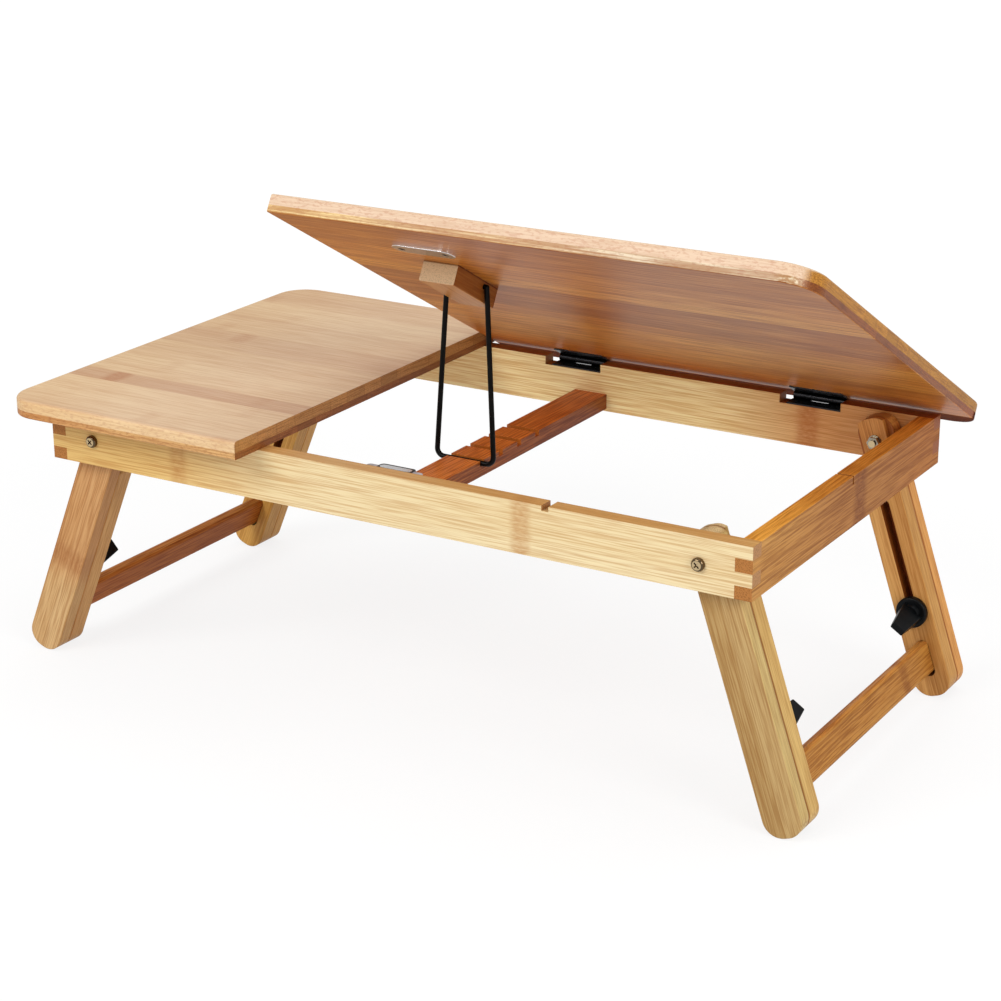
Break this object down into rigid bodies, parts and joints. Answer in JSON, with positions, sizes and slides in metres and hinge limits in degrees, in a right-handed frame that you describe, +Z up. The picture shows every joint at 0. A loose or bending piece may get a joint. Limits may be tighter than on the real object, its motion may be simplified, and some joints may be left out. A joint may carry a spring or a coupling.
{
  "type": "laptop bed desk",
  "caption": "Bamboo lap desk: box frame on folding, extending splayed legs, a fixed side top and a hinged top that a wire prop holds up at an angle.",
  "frame": {"origin": "on the floor under the middle of the desk, feet standing on z = 0", "axes": "+X along the desk from the fixed top to the tilting top, +Y towards the hinged edge where the user sits, +Z up"},
  "size_m": [0.635, 0.3639, 0.3709],
  "materials": {
    "bamboo_face": "clear satin lacquer over pale bamboo",
    "bamboo_core": "clear satin lacquer over carbonised bamboo",
    "bamboo_rail": "clear satin lacquer over pale bamboo",
    "bamboo_end": "clear satin lacquer over carbonised bamboo",
    "bamboo_leg": "clear satin lacquer over pale bamboo",
    "wire_black": "black paint",
    "hinge_black": "black paint",
    "knob_black": "moulded black plastic",
    "catch_black": "moulded black plastic",
    "catch_grey": "moulded light grey plastic",
    "screw_steel": "zinc plated",
    "chrome": "polished plating"
  },
  "bodies": {
    "frame": {"front_rail": "bamboo_rail", "back_rail": "bamboo_rail", "left_end_rail": "bamboo_end", "right_end_rail": "bamboo_end", "prop_rack": "bamboo_end", "fixed_top_upper_ply": "bamboo_face", "fixed_top_lower_ply": "bamboo_core", "catch_body": "catch_grey", "catch_cap": "catch_black", "catch_pole": "chrome", "catch_screws": "screw_steel", "left_hinge_lower_leaf": "hinge_black", "right_hinge_lower_leaf": "hinge_black", "hinge_pins": "hinge_black", "hinge_lower_screws": "hinge_black", "right_pivot_screws": "screw_steel", "left_pivot_screws": "screw_steel", "right_pivot_nuts": "screw_steel", "left_pivot_nuts": "screw_steel", "right_pivot_washers": "screw_steel", "left_pivot_washers": "screw_steel", "leg_stop_dowels": "bamboo_rail"},
    "tilting_top": {"tilting_top_upper_ply": "bamboo_face", "tilting_top_lower_ply": "bamboo_core", "prop_block": "bamboo_end", "strike_plate": "chrome", "strike_screws": "hinge_black", "left_hinge_upper_leaf": "hinge_black", "right_hinge_upper_leaf": "hinge_black", "hinge_upper_screws": "hinge_black"},
    "wire_prop": {"wire_prop": "wire_black"},
    "left_upper_legs": {"left_front_upper_leg": "bamboo_leg", "left_back_upper_leg": "bamboo_leg", "left_knob_studs": "screw_steel"},
    "left_lower_legs": {"left_front_lower_leg": "bamboo_leg", "left_back_lower_leg": "bamboo_leg", "left_stretcher": "bamboo_end"},
    "left_front_knob": {"left_front_knob": "knob_black"},
    "left_back_knob": {"left_back_knob": "knob_black"},
    "right_upper_legs": {"right_front_upper_leg": "bamboo_leg", "right_back_upper_leg": "bamboo_leg", "right_knob_studs": "screw_steel"},
    "right_lower_legs": {"right_front_lower_leg": "bamboo_leg", "right_back_lower_leg": "bamboo_leg", "right_stretcher": "bamboo_end"},
    "right_front_knob": {"right_front_knob": "knob_black"},
    "right_back_knob": {"right_back_knob": "knob_black"}
  },
  "joints": [
    {"name": "top_tilt", "type": "hinge", "parent": "frame", "child": "tilting_top", "pos_m": [0.00679, 0.1561, 0.19521], "axis": [-1, 0, 0], "range_deg": [0, 63]},
    {"name": "prop_swing", "type": "hinge", "parent": "tilting_top", "child": "wire_prop", "pos_m": [0.00679, -0.0355, 0.30004], "axis": [1, 0, 0], "range_deg": [0, 63]},
    {"name": "left_leg_fold", "type": "hinge", "parent": "frame", "child": "left_upper_legs", "pos_m": [-0.23401, 0, 0.18031], "axis": [0, -1, 0], "range_deg": [0, 112.6]},
    {"name": "left_leg_slide", "type": "slide", "parent": "left_upper_legs", "child": "left_lower_legs", "axis": [0.3843, 0, 0.9232], "range_m": [-0.08, 0]},
    {"name": "left_front_knob_turn", "type": "hinge", "parent": "left_upper_legs", "child": "left_front_knob", "pos_m": [-0.28166, -0.0984, 0.06583], "axis": [0, 1, 0], "range_deg": [0, 720]},
    {"name": "left_back_knob_turn", "type": "hinge", "parent": "left_upper_legs", "child": "left_back_knob", "pos_m": [-0.28166, 0.0984, 0.06583], "axis": [0, -1, 0], "range_deg": [0, 720]},
    {"name": "right_leg_fold", "type": "hinge", "parent": "frame", "child": "right_upper_legs", "pos_m": [0.24759, 0, 0.18031], "axis": [0, 1, 0], "range_deg": [0, 108.5]},
    {"name": "right_leg_slide", "type": "slide", "parent": "right_upper_legs", "child": "right_lower_legs", "axis": [-0.3173, 0, 0.9483], "range_m": [-0.08, 0]},
    {"name": "right_front_knob_turn", "type": "hinge", "parent": "right_upper_legs", "child": "right_front_knob", "pos_m": [0.28694, -0.0984, 0.06272], "axis": [0, 1, 0], "range_deg": [0, 720]},
    {"name": "right_back_knob_turn", "type": "hinge", "parent": "right_upper_legs", "child": "right_back_knob", "pos_m": [0.28694, 0.0984, 0.06272], "axis": [0, -1, 0], "range_deg": [0, 720]}
  ],
  "couplings": [
    {"joint": "prop_swing", "follows": "top_tilt", "ratio": 1}
  ]
}
